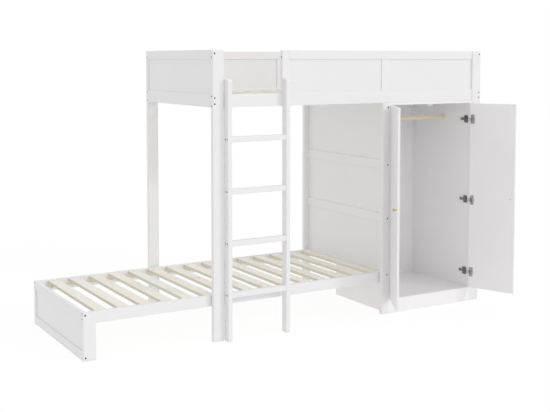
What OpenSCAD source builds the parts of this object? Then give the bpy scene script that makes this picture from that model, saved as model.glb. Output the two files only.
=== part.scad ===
// Bunk bed with a loft bed, a lower bed that runs out from under it, a panelled frame,
// a two-door wardrobe under the loft's right half and a ladder at the loft's entrance.
// Millimetres, +Z up, +X to the right along the beds, +Y to the back.
// The origin is the centre of the foot of the loft's front left post.

/* [Loft bed] */
// Outer length of the loft bed
loft_length = 2080; // [1960:10:2240]
// Outer depth of the loft bed, front to back
loft_depth = 990; // [900:5:1100]
// Height of the posts and of the guards' top edge
loft_height = 1740; // [1650:10:1850]
// Clear height under the loft bed's rails
loft_under = 1400; // [1330:10:1450]
// Width of a corner post, along the bed
post_w = 72; // [60:1:90]
// Thickness of a corner post, front to back
post_t = 30; // [26:1:40]
// Thickness of every rail and stile
rail_t = 24; // [20:1:28]
// Height of the loft's side rails and lower end rails
side_rail_h = 78; // [70:1:90]
// Height of the guards' and ends' top rails
guard_rail_h = 55; // [45:1:65]
// Set-back of the long rails' outer faces behind the posts' faces
side_inset = 6; // [2:0.5:8]
// Width of the ladder's entrance between the front left post and the guard
entrance_w = 407; // [380:1:460]
// Width of the front guard's end stile, beside the entrance
guard_stile_w = 51; // [45:1:60]
// Width of the middle stiles in the front and back guards
mid_stile_w = 61; // [50:1:70]

/* [Panels] */
// Thickness of the infill panels
panel_t = 8; // [6:0.5:12]
// Depth that a panel reaches into its grooves
groove_d = 5; // [4:0.5:6]
// Clearance between a panel and the groove's walls
panel_fit = 0.2; // [0.1:0.05:0.4]

/* [Slats] */
// Number of slats in each bed
slat_count = 15; // [12:1:18]
// Width of a slat
slat_w = 70; // [50:1:80]
// Thickness of a slat
slat_t = 19; // [14:1:22]
// Clearance between a slat's end and the side rail
slat_fit = 0.5; // [0.3:0.1:1]
// Width of the ledgers that carry the slats
ledger_w = 20; // [16:1:26]
// Height of the ledgers
ledger_h = 24; // [20:1:28]
// Depth of the loft's slats below the side rails' top edge
loft_slat_drop = 16; // [12:1:22]
// Gap between the loft's end rails and its first and last slats
loft_slat_margin = 32; // [20:1:60]
// Depth of the lower bed's slats below the side rails' top edge
lower_slat_drop = 2; // [1:1:12]
// Gap between the footboard and the first slat
lower_slat_first = 59; // [40:1:90]
// Gap between the last slat and the panelled frame
lower_slat_last = 2; // [2:1:20]

/* [Lower bed] */
// Reach of the footboard's outer face beyond the loft's left end
lower_overhang = 797; // [700:1:900]
// Top of the lower bed's side rails, footboard and legs
lower_top = 276; // [255:1:285]
// Height of the lower bed's side rails
lower_rail_h = 67; // [60:1:75]
// Width of a footboard leg, along the bed
leg_w = 74; // [60:1:90]
// Thickness of a footboard leg, front to back
leg_t = 30; // [26:1:40]
// Height of the footboard's top rail
foot_top_h = 55; // [45:1:65]
// Height of the footboard's bottom rail
foot_bottom_h = 53; // [45:1:65]
// Clearance between the lower bed and the panelled frame's posts
lower_fit = 2; // [1:0.5:4]

/* [Panelled frame] */
// Width of a frame post, along the bed
frame_post_w = 52; // [44:1:60]
// Thickness of a frame post, front to back
frame_post_t = 30; // [26:1:36]
// Height of each of the frame's four rails
frame_rail_h = 58; // [52:1:66]
// Underside of the frame's second rail from the top
frame_rail_2_z = 963; // [920:1:1010]
// Underside of the frame's third rail from the top
frame_rail_3_z = 607; // [580:1:640]
// Underside of the frame's lowest rail
frame_rail_4_z = 233; // [225:1:240]

/* [Wardrobe] */
// Outer width of the wardrobe
wardrobe_width = 712; // [660:2:800]
// Outer depth of the wardrobe
wardrobe_depth = 615; // [560:5:700]
// Thickness of the wardrobe's side panels
wardrobe_side_t = 18; // [15:1:22]
// Thickness of the top board
wardrobe_top_t = 15; // [12:1:20]
// Thickness of the floor board
wardrobe_floor_t = 16; // [12:1:20]
// Thickness of the back panel
wardrobe_back_t = 4; // [3:0.5:8]
// Height of the plinth and of the floor's upper face
plinth_h = 95; // [80:1:120]
// Thickness of the plinth board
plinth_t = 16; // [12:1:20]
// Diameter of the hanging rod
rod_d = 28; // [22:1:32]
// Drop of the hanging rod's axis below the wardrobe's ceiling
rod_drop = 109; // [80:1:160]
// Distance of the rod's axis behind the wardrobe's front
rod_back = 277; // [240:1:320]
// Outer diameter of a rod socket's flange
socket_flange_d = 45; // [42:1:54]
// Clearance between the rod and its sockets
rod_fit = 0.3; // [0.2:0.05:0.6]

/* [Doors] */
// Thickness of a door
door_t = 16; // [15:0.5:18]
// Gap around and between the closed doors
door_gap = 2; // [1.5:0.25:3]
// Angle to which the right door stands open
right_open = 112; // [0:1:120]
// Angle to which the left door stands open
left_open = 120; // [0:1:120]
// Height of the knobs
knob_z = 740; // [700:5:900]
// Distance of a knob from the door's free edge
knob_from_edge = 30; // [25:1:60]
// Reach of a knob out of the door's face
knob_reach = 25; // [20:1:32]
// Diameter of a knob's head
knob_d = 20; // [16:1:26]

/* [Hinges] */
// Height of the lowest hinge above the door's lower edge
hinge_low = 111; // [90:1:150]
// Height of the middle hinge above the door's lower edge
hinge_mid = 615; // [500:5:800]
// Distance of the highest hinge below the door's upper edge
hinge_high = 111; // [90:1:150]
// Distance of the pivot line behind the door's outer face
pivot_in = 2.8; // [2.5:0.1:3.1]
// Distance of the pivot line beyond the side panel's inner face
pivot_out = 3.25; // [3:0.05:3.5]
// Diameter of the hinge cup's bore in the door
cup_d = 35; // [34:0.5:36]
// Wood left between the cup's bore and the door's hinge edge
cup_edge = 4; // [3.5:0.5:5]
// Wood left under the cup's bore
cup_floor = 4; // [3.5:0.25:4.25]
// Length of a hinge link between its two pins
link_length = 37.7; // [37:0.1:38]
// Turn of the links for each degree of the door
link_ratio = 1.78; // [1.76:0.005:1.8]

/* [Ladder] */
// Width of a ladder stile, along the bed
stile_w = 27; // [24:1:34]
// Depth of a ladder stile, front to back
stile_d = 52; // [46:1:60]
// Height of the stiles above the loft's underside
stile_over = 168; // [120:1:220]
// Rounding of a stile's upper front corner
stile_head_r = 14; // [6:1:20]
// Gap between the front left post and the left stile
stile_gap = 3; // [2:1:8]
// Width by which the right stile laps over the guard's end stile
stile_lap = 25; // [20:1:40]
// Number of rungs
rung_count = 4; // [3:1:4]
// Height of the lowest rung's centre
rung_first = 278; // [250:1:310]
// Distance from one rung to the next
rung_pitch = 311; // [290:1:325]
// Height of a rung
rung_h = 33; // [26:1:40]
// Depth of a rung, front to back
rung_d = 36; // [30:1:40]
// Set-back of the rungs behind the stiles' front
rung_inset = 4; // [2:1:8]

/* [Fasteners] */
// Diameter of a connector bolt
bolt_d = 6; // [5:0.5:7]
// Diameter of a connector bolt's head
bolt_head_d = 10; // [9:0.5:11]
// Height of a connector bolt's head
bolt_head_h = 5; // [4:0.5:6]
// Depth of the bolt heads below the wood's face
bolt_sink = 1; // [0.5:0.25:2]
// Clearance around bolts and nuts in the wood
bolt_fit = 0.25; // [0.15:0.05:0.4]
// Distance of a barrel nut's axis from the rail's end
nut_in = 32; // [26:1:40]
// Diameter of a barrel nut
nut_d = 10; // [9:0.5:11]
// Length of a barrel nut
nut_length = 14; // [12:1:16]
// Length of a slat screw
screw_length = 30; // [24:1:34]
// Diameter of a slat screw
screw_d = 3.5; // [3:0.25:4.5]
// Diameter of a screw's head
screw_head_d = 7; // [6:0.5:8]

/* [Finish] */
// Radius of the eased edges
edge_r = 2; // [1:0.25:3]

/* [Hidden] */

// Colours
paint = "#F3F3F1";
pine = "#E9DFC4";
rod_wood = "#D9B98C";
dark_steel = "#4A4A4C";
plate_steel = "#A9A9AA";
brass = "#C9A24A";
plastic = "#F6F6F4";

// Smoothness of round pieces and steps of an eased corner
round_fn = 32;
fine_fn = 64;
corner_steps = 3;
// Overshoot that cuts reach beyond a face
past = 1;

// Planes of the loft bed
left_x = -post_w / 2;
right_x = left_x + loft_length;
front_y = -post_t / 2;
back_y = front_y + loft_depth;
side_rail_top = loft_under + side_rail_h;
guard_rail_z = loft_height - guard_rail_h;
inner_left = left_x + post_w;
inner_right = right_x - post_w;

// Middle planes of the long rails (0 is the front, 1 the back) and of the end rails (0 left, 1 right)
function side_mid(back) = back ? back_y - side_inset - rail_t / 2 : front_y + side_inset + rail_t / 2;
function end_mid(right) = right ? right_x - rail_t / 2 : left_x + rail_t / 2;
rail_inner_front = side_mid(0) + rail_t / 2;
rail_inner_back = side_mid(1) - rail_t / 2;

// Guards
guard_x = inner_left + entrance_w;
wardrobe_right = inner_right;
wardrobe_left = wardrobe_right - wardrobe_width;
front_mid_stile_x = wardrobe_left - mid_stile_w;
back_mid_stile_x = (left_x + right_x - mid_stile_w) / 2;

// Panelled frame
frame_x = wardrobe_left - frame_post_w;
frame_mid = wardrobe_left - rail_t / 2;
frame_face = wardrobe_left - rail_t;
frame_rail_z = [loft_under - frame_rail_h, frame_rail_2_z, frame_rail_3_z, frame_rail_4_z];

// Lower bed
foot_x = left_x - lower_overhang;
foot_mid = foot_x + rail_t / 2;
lower_front = front_y + frame_post_t + lower_fit;
lower_back = back_y - frame_post_t - lower_fit;
lower_rail_z = lower_top - lower_rail_h;
function lower_mid(back) =
    back ? lower_back - leg_t + rail_t / 2 : lower_front + leg_t - rail_t / 2;
lower_inner_front = lower_front + leg_t;
lower_inner_back = lower_back - leg_t;

// Slat tops
loft_slat_z = side_rail_top - loft_slat_drop;
lower_slat_z = lower_top - lower_slat_drop;

// Wardrobe
wardrobe_back_y = front_y + wardrobe_depth;
back_panel_y = wardrobe_back_y - wardrobe_back_t;
inside_left = wardrobe_left + wardrobe_side_t;
inside_right = wardrobe_right - wardrobe_side_t;
wardrobe_ceiling = loft_under - wardrobe_top_t;
rod_y = front_y + rod_back;
rod_z = wardrobe_ceiling - rod_drop;
socket_flange_t = 4;
socket_ring_h = 12;
socket_wall = 3;
board_r = 1;

// Doors
door_w = (inside_right - inside_left - 3 * door_gap) / 2;
door_bottom = plinth_h + door_gap;
door_top = wardrobe_ceiling - door_gap;
catch_w = 46;
catch_d = 34;
catch_h = 12;
catch_gap = 1.5;
magnet = [14, 1, 6];
strike = [16, 1, 14];
strike_from_edge = 5;
strike_drop = 3;
knob_x = -door_w + knob_from_edge;
knob_foot_d = 13;
knob_foot_h = 2.5;
knob_stem_d = 8;
knob_head_h = 11;
knob_head_r = 3;
knob_screw_d = 4;
knob_screw_in = 12;
knob_screw_head_h = 2;

// Hinges, in the closed right door's own frame: x runs from the hinge edge away from the door,
// y from the door's outer face into the wardrobe. The left door's are the mirror image.
hinge_z = [door_bottom + hinge_low, door_bottom + hinge_mid, door_top - hinge_high];
pivot = [door_gap + pivot_out, pivot_in];
cup_x = -cup_edge - cup_d / 2;
cup_fit = 0.2;
cup_wall = 0.7;
cup_bottom_t = 0.6;
cup_flange = [28, 1.2, 66];
cup_flange_d = 36;
cup_screw_z = 24;
cup_screw_length = 11;
arm_t = 3.2;
arm_bend_d = 3.8;
arm_tip_w = 8;
arm_w = 12;
arm_tail_w = 17;
arm_pin_past = 4.5;
arm_pin_over = 2.4;
arm_bend_in = 15.6;
arm_root_in = 23.6;
arm_stand = 8;
arm_length = 56;
arm_pin = [cup_x - arm_pin_past, cup_floor + arm_pin_over];
arm_bend = [arm_pin.x, arm_pin.y + arm_bend_in];
arm_root = [door_gap - arm_stand, arm_pin.y + arm_root_in];
arm_end = [arm_root.x, arm_root.y + arm_length];
mount_plate = [5, 34, 50];
mount_plate_r = 4.5;
mount_plate_gap = 2.5;
mount_plate_y = door_t + cup_flange.y + mount_plate_gap;
mount_screw_z = 16;
mount_screw_length = 15;
saddle_front = 1.5;
saddle_back = 12;
link_r = 1.45;
link_t = 1.5;
link_gap = 0.2;
link_pin_d = 2;
pin_fit = 0.08;
link_closed = 106.2;
link_full_open = 120;
cup_notch = 0.8;
cup_notch_w = 13;
seat_w = 7;
seat_gap = 0.3;
seat_from = 112;
seat_past = 1;
seat_step = 1.5;

// Where the link's far pin lies in the door's frame when the door stands open at an angle
function turned(p, a) = [p.x * cos(a) - p.y * sin(a), p.x * sin(a) + p.y * cos(a)];
function link_end(a) =
    let (tip = arm_pin + turned([link_length, 0], link_closed + link_ratio * a))
    pivot + turned(tip - pivot, -a);

// Ramp in the cup beside the far pin's path through the last degrees of the door's travel
ramp = link_end(link_full_open) - link_end(seat_from);
ramp_off = turned(ramp, -90) * (link_r + seat_gap) / norm(ramp);
ramp_high = link_end(seat_from) + ramp_off;
ramp_low = link_end(link_full_open) + ramp_off;
link_seat = [
    ramp_high,
    ramp_low,
    [ramp_low.x, cup_floor + cup_bottom_t / 2],
    [ramp_high.x - seat_past, cup_floor + cup_bottom_t / 2],
    [ramp_high.x - seat_past, ramp_high.y - seat_step]
];

// Ladder
ladder_left = inner_left + stile_gap;
ladder_right = guard_x + stile_lap;
ladder_back = front_y + side_inset;
ladder_front = ladder_back - stile_d;
stile_top = loft_under + stile_over;
rung_y = ladder_front + rung_inset;
rung_r = 4;
rung_screw_gap = 20;

// Fasteners
screw_fit = 0.15;
socket_d = 5;
socket_depth = 3;
nut_past = 8;
wood_reach = 36;
stile_reach = 26;
plug_length = 34;
end_bolt_in = 21;
side_bolt_in = 10;
nut_cover = 2.5;
end_bolt_z = [loft_height - end_bolt_in, loft_under + end_bolt_in, side_rail_top - end_bolt_in];
side_bolt_z = [loft_under + side_bolt_in, side_rail_top - groove_d - nut_d / 2 - nut_cover];
guard_bolt_z = guard_rail_z + groove_d + nut_d / 2 + nut_cover;
ladder_bolt_over = 15;
ladder_bolt_z = loft_under + side_rail_h / 2 + ladder_bolt_over;
guard_ladder_bolt_over = 42;
guard_ladder_bolt_z = side_rail_top + guard_ladder_bolt_over;
leg_bolt_in = [7.5, 40];
leg_bolt_z = [lower_top - leg_bolt_in[0], lower_top - leg_bolt_in[1]];
foot_bolt_in = [16, 19];
foot_bolt_z = [lower_top - foot_bolt_in[0], foot_bolt_in[1]];
head_bolt_in = 14;
head_bolt_z = lower_top - head_bolt_in;
frame_bolt_mid = frame_rail_h / 2;

// ---- Shapes ----

// Points of one rounded corner, from angle start through a quarter turn
function corner_arc(centre, r, start) = [
    for (i = [0:corner_steps])
        let (a = start + 90 * i / corner_steps)
        [centre.x + r * cos(a), centre.y + r * sin(a)]
];

// Outline of a rectangle with eased corners
function eased_outline(w, h, r) = concat(
    corner_arc([w - r, h - r], r, 0),
    corner_arc([r, h - r], r, 90),
    corner_arc([r, r], r, 180),
    corner_arc([w - r, r], r, 270)
);

// Bars of the size s with the four edges along one axis eased
module bar_x(s, r) {
    rotate([90, 0, 90]) linear_extrude(s.x) polygon(eased_outline(s.y, s.z, r));
}

module bar_y(s, r) {
    translate([0, s.y, 0]) rotate([90, 0, 0]) linear_extrude(s.y) polygon(eased_outline(s.x, s.z, r));
}

module bar_z(s, r) {
    linear_extrude(s.z) polygon(eased_outline(s.x, s.y, r));
}

// A board between two corners, its long edges eased
module board(low, high, r = edge_r) {
    s = high - low;
    translate(low) {
        if (s.x >= s.y && s.x >= s.z) bar_x(s, r);
        else if (s.y >= s.z) bar_y(s, r);
        else bar_z(s, r);
    }
}

// A board between two corners, all its edges eased
module eased_board(low, high, r = edge_r) {
    s = high - low;
    translate(low) intersection() {
        bar_x(s, r);
        bar_y(s, r);
        bar_z(s, r);
    }
}

// A square-edged sheet, given as its two corners, grown on every side by a clearance
module sheet(box, grow = 0) {
    translate(box[0] - [grow, grow, grow]) cube(box[1] - box[0] + 2 * [grow, grow, grow]);
}

// A slot for an infill panel
module panel_slot(box) {
    sheet(box, panel_fit);
}

// ---- Infill panels, as pairs of corners ----

function end_panel(right) = [
    [end_mid(right) - panel_t / 2, front_y + post_t - groove_d, side_rail_top - groove_d],
    [end_mid(right) + panel_t / 2, back_y - post_t + groove_d, guard_rail_z + groove_d]
];

// A guard panel between two upright edges
function guard_panel(back, from_x, to_x) = [
    [from_x - groove_d, side_mid(back) - panel_t / 2, side_rail_top - groove_d],
    [to_x + groove_d, side_mid(back) + panel_t / 2, guard_rail_z + groove_d]
];

front_panels = [
    guard_panel(0, guard_x + guard_stile_w, front_mid_stile_x),
    guard_panel(0, front_mid_stile_x + mid_stile_w, inner_right)
];

back_panels = [
    guard_panel(1, inner_left, back_mid_stile_x),
    guard_panel(1, back_mid_stile_x + mid_stile_w, inner_right)
];

// Frame panel i lies between rail i and the rail below it
function frame_panel(i) = [
    [frame_mid - panel_t / 2, front_y + frame_post_t - groove_d,
     frame_rail_z[i + 1] + frame_rail_h - groove_d],
    [frame_mid + panel_t / 2, back_y - frame_post_t + groove_d, frame_rail_z[i] + groove_d]
];

foot_panel = [
    [foot_mid - panel_t / 2, lower_front + leg_t - groove_d, foot_bottom_h - groove_d],
    [foot_mid + panel_t / 2, lower_back - leg_t + groove_d, lower_top - foot_top_h + groove_d]
];

// ---- Bolted joints ----
// A bolt is [head's place on the face, direction about Z, clamped thickness, nut's open side, length].
// The nut's side is undef where the bolt ends in the wood, and the length is then given.

function end_bolts(right, back) = [
    for (z = end_bolt_z)
        [[end_mid(right), back ? back_y : front_y, z], back ? 270 : 90, post_t, right ? 180 : 0]
];

function side_bolt(right, back, z) =
    [[right ? right_x : left_x, side_mid(back), z], right ? 180 : 0, post_w, back ? 270 : 90];

function side_bolts(right, back) = [for (z = side_bolt_z) side_bolt(right, back, z)];

function guard_bolt(right, back) = side_bolt(right, back, guard_bolt_z);

// The front left post has no guard beside it, and its spare hole holds a short bolt
plug_bolt = [[left_x, side_mid(0), guard_bolt_z], 0, post_w, undef, plug_length];

guard_end_bolt = [[guard_x, side_mid(0), guard_bolt_z], 0, guard_stile_w, 90];

function frame_bolts(back) = [
    for (z = frame_rail_z)
        [[frame_mid, back ? back_y : front_y, z + frame_bolt_mid], back ? 270 : 90, frame_post_t, 0]
];

function foot_bolts(back) = [
    for (z = foot_bolt_z)
        [[foot_mid, back ? lower_back : lower_front, z], back ? 270 : 90, leg_t, 0]
];

function leg_bolts(back) = [
    for (z = leg_bolt_z)
        [[foot_x, lower_mid(back), z], 0, leg_w, back ? 270 : 90]
];

function head_bolt(back) = [[wardrobe_left, lower_mid(back), head_bolt_z], 180, rail_t, back ? 270 : 90];

function rung_bolts(right) = [
    for (i = [0:rung_count - 1], side = [-1, 1])
        [[right ? ladder_right : ladder_left, rung_y + (rung_d + side * rung_screw_gap) / 2,
          rung_first + i * rung_pitch],
         right ? 180 : 0, stile_w, undef, stile_w + wood_reach]
];

function ladder_bolt(x, z) =
    [[x, rail_inner_front, z], 270, rail_t, undef, rail_t + stile_reach];

ladder_bolts = [
    ladder_bolt(ladder_left + stile_w / 2, ladder_bolt_z),
    ladder_bolt(ladder_right - stile_w / 2, ladder_bolt_z),
    ladder_bolt(guard_x + stile_lap / 2, guard_ladder_bolt_z)
];

nut_bolts = concat(
    end_bolts(0, 0), end_bolts(0, 1), end_bolts(1, 0), end_bolts(1, 1),
    side_bolts(0, 0), side_bolts(0, 1), side_bolts(1, 0), side_bolts(1, 1),
    [guard_bolt(1, 0), guard_bolt(0, 1), guard_bolt(1, 1), guard_end_bolt],
    frame_bolts(0), frame_bolts(1), foot_bolts(0), foot_bolts(1),
    leg_bolts(0), leg_bolts(1), [head_bolt(0), head_bolt(1)]
);

wood_bolts = concat([plug_bolt], rung_bolts(0), rung_bolts(1), ladder_bolts);

function has_nut(b) = !is_undef(b[3]);
function bolt_length(b) = has_nut(b) ? b[2] + nut_in + nut_past : b[4];
function nut_place(b) = b[0] + (b[2] + nut_in) * [cos(b[1]), sin(b[1]), 0];

// Turns local +Z into the bolt's direction, with the local origin at the head's place
module along_bolt(b) {
    translate(b[0]) rotate([0, 0, b[1]]) rotate([0, 90, 0]) children();
}

// Turns local +Z towards the open side of the nut's bore, with the origin at the nut's middle
module along_nut(b) {
    translate(nut_place(b)) rotate([0, 0, b[3]]) rotate([0, 90, 0]) children();
}

module bolt(b) {
    along_bolt(b) difference() {
        union() {
            translate([0, 0, bolt_sink]) cylinder(d = bolt_head_d, h = bolt_head_h, $fn = round_fn);
            translate([0, 0, bolt_sink])
                cylinder(d = bolt_d, h = bolt_length(b) - bolt_sink, $fn = round_fn);
        }
        translate([0, 0, bolt_sink - past]) cylinder(d = socket_d, h = past + socket_depth, $fn = 6);
    }
}

module nut(b) {
    difference() {
        along_nut(b) cylinder(d = nut_d, h = nut_length, center = true, $fn = round_fn);
        along_bolt(b) cylinder(d = bolt_d + 2 * bolt_fit, h = bolt_length(b), $fn = round_fn);
    }
}

// Bores for bolts: a counterbore for the head and a through hole for the shank
module bolt_bores(bolts) {
    for (b = bolts) along_bolt(b) {
        translate([0, 0, -past])
            cylinder(d = bolt_head_d + 2 * bolt_fit, h = past + bolt_sink + bolt_head_h, $fn = round_fn);
        cylinder(d = bolt_d + 2 * bolt_fit, h = bolt_length(b) + past, $fn = round_fn);
    }
}

// Bores for barrel nuts, open on one face of the rail
module nut_bores(bolts, cover = 0) {
    for (b = bolts) along_nut(b) translate([0, 0, -nut_length / 2])
        cylinder(d = nut_d + 2 * bolt_fit, h = nut_length / 2 + rail_t / 2 + cover + past, $fn = round_fn);
}

// ---- Loft bed ----

module loft_post(right, back) {
    low = [right ? inner_right : left_x, back ? back_y - post_t : front_y, 0];
    difference() {
        eased_board(low, low + [post_w, post_t, loft_height]);
        panel_slot(end_panel(right));
        if (back) panel_slot(back_panels[right]);
        if (!back && right) panel_slot(front_panels[1]);
        bolt_bores(end_bolts(right, back));
        bolt_bores(side_bolts(right, back));
        bolt_bores([back || right ? guard_bolt(right, back) : plug_bolt]);
    }
}

module loft_post_front_left() color(paint) loft_post(0, 0);
module loft_post_front_right() color(paint) loft_post(1, 0);
module loft_post_back_left() color(paint) loft_post(0, 1);
module loft_post_back_right() color(paint) loft_post(1, 1);

// A rail of the loft's end between its two posts
module end_rail(right, low_z, high_z) {
    bolts = [for (back = [0, 1], b = end_bolts(right, back)) if (b[0].z > low_z && b[0].z < high_z) b];
    difference() {
        board([end_mid(right) - rail_t / 2, front_y + post_t, low_z],
              [end_mid(right) + rail_t / 2, back_y - post_t, high_z]);
        panel_slot(end_panel(right));
        bolt_bores(bolts);
        nut_bores(bolts);
    }
}

module left_end_top_rail() color(paint) end_rail(0, guard_rail_z, loft_height);
module left_end_bottom_rail() color(paint) end_rail(0, loft_under, side_rail_top);
module left_end_panel() color(paint) sheet(end_panel(0));
module right_end_top_rail() color(paint) end_rail(1, guard_rail_z, loft_height);
module right_end_bottom_rail() color(paint) end_rail(1, loft_under, side_rail_top);
module right_end_panel() color(paint) sheet(end_panel(1));

module side_rail(back) {
    bolts = concat(side_bolts(0, back), side_bolts(1, back));
    difference() {
        board([inner_left, side_mid(back) - rail_t / 2, loft_under],
              [inner_right, side_mid(back) + rail_t / 2, side_rail_top]);
        for (box = back ? back_panels : front_panels) panel_slot(box);
        bolt_bores(bolts);
        nut_bores(bolts);
        if (!back) bolt_bores(ladder_bolts);
    }
}

module front_side_rail() color(paint) side_rail(0);
module back_side_rail() color(paint) side_rail(1);

module guard_top_rail(back, from_x, bolts) {
    difference() {
        board([from_x, side_mid(back) - rail_t / 2, guard_rail_z],
              [inner_right, side_mid(back) + rail_t / 2, loft_height]);
        for (box = back ? back_panels : front_panels) panel_slot(box);
        bolt_bores(bolts);
        nut_bores(bolts);
    }
}

module guard_mid_stile(back, from_x) {
    difference() {
        board([from_x, side_mid(back) - rail_t / 2, side_rail_top],
              [from_x + mid_stile_w, side_mid(back) + rail_t / 2, guard_rail_z]);
        for (box = back ? back_panels : front_panels) panel_slot(box);
    }
}

module front_guard_top_rail() color(paint)
    guard_top_rail(0, guard_x + guard_stile_w, [guard_end_bolt, guard_bolt(1, 0)]);

module front_guard_stiles() color(paint) {
    difference() {
        eased_board([guard_x, side_mid(0) - rail_t / 2, side_rail_top],
                    [guard_x + guard_stile_w, side_mid(0) + rail_t / 2, loft_height]);
        panel_slot(front_panels[0]);
        bolt_bores([guard_end_bolt, ladder_bolts[2]]);
    }
    guard_mid_stile(0, front_mid_stile_x);
}

module front_guard_panels() color(paint) for (box = front_panels) sheet(box);

module back_guard_top_rail() color(paint)
    guard_top_rail(1, inner_left, [guard_bolt(0, 1), guard_bolt(1, 1)]);

module back_guard_stile() color(paint) guard_mid_stile(1, back_mid_stile_x);
module back_guard_panels() color(paint) for (box = back_panels) sheet(box);

// ---- Slats and ledgers ----

// Left edges of the slats between two planes
function slat_places(first_x, last_x) = [
    for (i = [0:slat_count - 1]) first_x + i * (last_x - slat_w - first_x) / (slat_count - 1)
];

loft_slat_x = slat_places(left_x + rail_t + loft_slat_margin, right_x - rail_t - loft_slat_margin);
lower_slat_x = slat_places(foot_x + rail_t + lower_slat_first, frame_face - lower_slat_last);

// Places of the screws' heads: one over each ledger in each slat
function screw_places(slat_x, inner_front, inner_back, top_z) = [
    for (x = slat_x, y = [inner_front + ledger_w / 2, inner_back - ledger_w / 2])
        [x + slat_w / 2, y, top_z]
];

loft_screws = screw_places(loft_slat_x, rail_inner_front, rail_inner_back, loft_slat_z);
lower_screws = screw_places(lower_slat_x, lower_inner_front, lower_inner_back, lower_slat_z);

// A countersunk screw pointing down, the middle of its head's top at the origin
module screw(length, grow = 0) {
    head_h = (screw_head_d - screw_d) / 2;
    translate([0, 0, -head_h])
        cylinder(d1 = screw_d + 2 * grow, d2 = screw_head_d + 2 * grow, h = head_h, $fn = round_fn);
    translate([0, 0, -length])
        cylinder(d = screw_d + 2 * grow, h = length - head_h, $fn = round_fn);
}

module slat_screw(p, grow = 0) {
    translate(p) screw(screw_length, grow);
}

module slats(slat_x, inner_front, inner_back, top_z) {
    screws = screw_places(slat_x, inner_front, inner_back, top_z);
    for (i = [0:slat_count - 1]) difference() {
        board([slat_x[i], inner_front + slat_fit, top_z - slat_t],
              [slat_x[i] + slat_w, inner_back - slat_fit, top_z]);
        for (end = [0, 1]) slat_screw(screws[2 * i + end], screw_fit);
    }
}

module ledgers(from_x, to_x, inner_front, inner_back, top_z, screws) {
    for (y = [inner_front, inner_back - ledger_w]) difference() {
        board([from_x, y, top_z - slat_t - ledger_h], [to_x, y + ledger_w, top_z - slat_t]);
        for (p = screws) if (p.y > y && p.y < y + ledger_w) slat_screw(p, screw_fit);
        children();
    }
}

module loft_ledgers() color(pine)
    ledgers(left_x + rail_t, right_x - rail_t, rail_inner_front, rail_inner_back, loft_slat_z, loft_screws);

module loft_slats() color(pine) slats(loft_slat_x, rail_inner_front, rail_inner_back, loft_slat_z);

module lower_ledgers() color(pine)
    ledgers(foot_x + rail_t, frame_face, lower_inner_front, lower_inner_back, lower_slat_z, lower_screws)
        nut_bores(concat(leg_bolts(0), leg_bolts(1)), ledger_w);

module lower_slats() color(pine) slats(lower_slat_x, lower_inner_front, lower_inner_back, lower_slat_z);

// ---- Lower bed ----

module footboard_leg(back) {
    low = [foot_x, back ? lower_back - leg_t : lower_front, 0];
    difference() {
        eased_board(low, low + [leg_w, leg_t, lower_top]);
        panel_slot(foot_panel);
        bolt_bores(foot_bolts(back));
        bolt_bores(leg_bolts(back));
    }
}

module footboard_leg_front() color(paint) footboard_leg(0);
module footboard_leg_back() color(paint) footboard_leg(1);

module footboard_rail(low_z, high_z) {
    bolts = [for (back = [0, 1], b = foot_bolts(back)) if (b[0].z > low_z && b[0].z < high_z) b];
    difference() {
        board([foot_x, lower_front + leg_t, low_z], [foot_x + rail_t, lower_back - leg_t, high_z]);
        panel_slot(foot_panel);
        bolt_bores(bolts);
        nut_bores(bolts);
    }
}

module footboard_top_rail() color(paint) footboard_rail(lower_top - foot_top_h, lower_top);
module footboard_bottom_rail() color(paint) footboard_rail(0, foot_bottom_h);
module footboard_panel() color(paint) sheet(foot_panel);

module lower_side_rail(back) {
    bolts = concat(leg_bolts(back), [head_bolt(back)]);
    difference() {
        board([foot_x + leg_w, lower_mid(back) - rail_t / 2, lower_rail_z],
              [frame_face, lower_mid(back) + rail_t / 2, lower_top]);
        bolt_bores(bolts);
        nut_bores(bolts);
    }
}

module lower_side_rail_front() color(paint) lower_side_rail(0);
module lower_side_rail_back() color(paint) lower_side_rail(1);

// ---- Panelled frame between the lower bed and the wardrobe ----

module frame_post(back) {
    low = [frame_x, back ? back_y - frame_post_t : front_y, 0];
    difference() {
        eased_board(low, low + [frame_post_w, frame_post_t, loft_under]);
        for (i = [0:2]) panel_slot(frame_panel(i));
        bolt_bores(frame_bolts(back));
    }
}

module frame_post_front() color(paint) frame_post(0);
module frame_post_back() color(paint) frame_post(1);

module frame_rails() color(paint) {
    bolts = concat(frame_bolts(0), frame_bolts(1));
    for (i = [0:3]) difference() {
        board([frame_face, front_y + frame_post_t, frame_rail_z[i]],
              [wardrobe_left, back_y - frame_post_t, frame_rail_z[i] + frame_rail_h]);
        if (i > 0) panel_slot(frame_panel(i - 1));
        if (i < 3) panel_slot(frame_panel(i));
        bolt_bores([bolts[i], bolts[i + 4]]);
        nut_bores([bolts[i], bolts[i + 4]]);
        if (i == 3) bolt_bores([head_bolt(0), head_bolt(1)]);
    }
}

module frame_panels() color(paint) for (i = [0:2]) sheet(frame_panel(i));

// ---- Wardrobe ----

module wardrobe_side(right) {
    x = right ? inside_right : wardrobe_left;
    difference() {
        eased_board([x, front_y, 0], [x + wardrobe_side_t, back_panel_y, loft_under], board_r);
        at_hinge(right) for (z = hinge_z, side = [-1, 1]) mount_screw(z, side, screw_fit);
    }
}

module wardrobe_side_left() color(paint) wardrobe_side(0);
module wardrobe_side_right() color(paint) wardrobe_side(1);

module wardrobe_top() color(paint)
    board([inside_left, front_y, wardrobe_ceiling], [inside_right, back_panel_y, loft_under], board_r);

module wardrobe_floor() color(paint)
    sheet([[inside_left, front_y + plinth_t, plinth_h - wardrobe_floor_t],
           [inside_right, back_panel_y, plinth_h]]);

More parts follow.
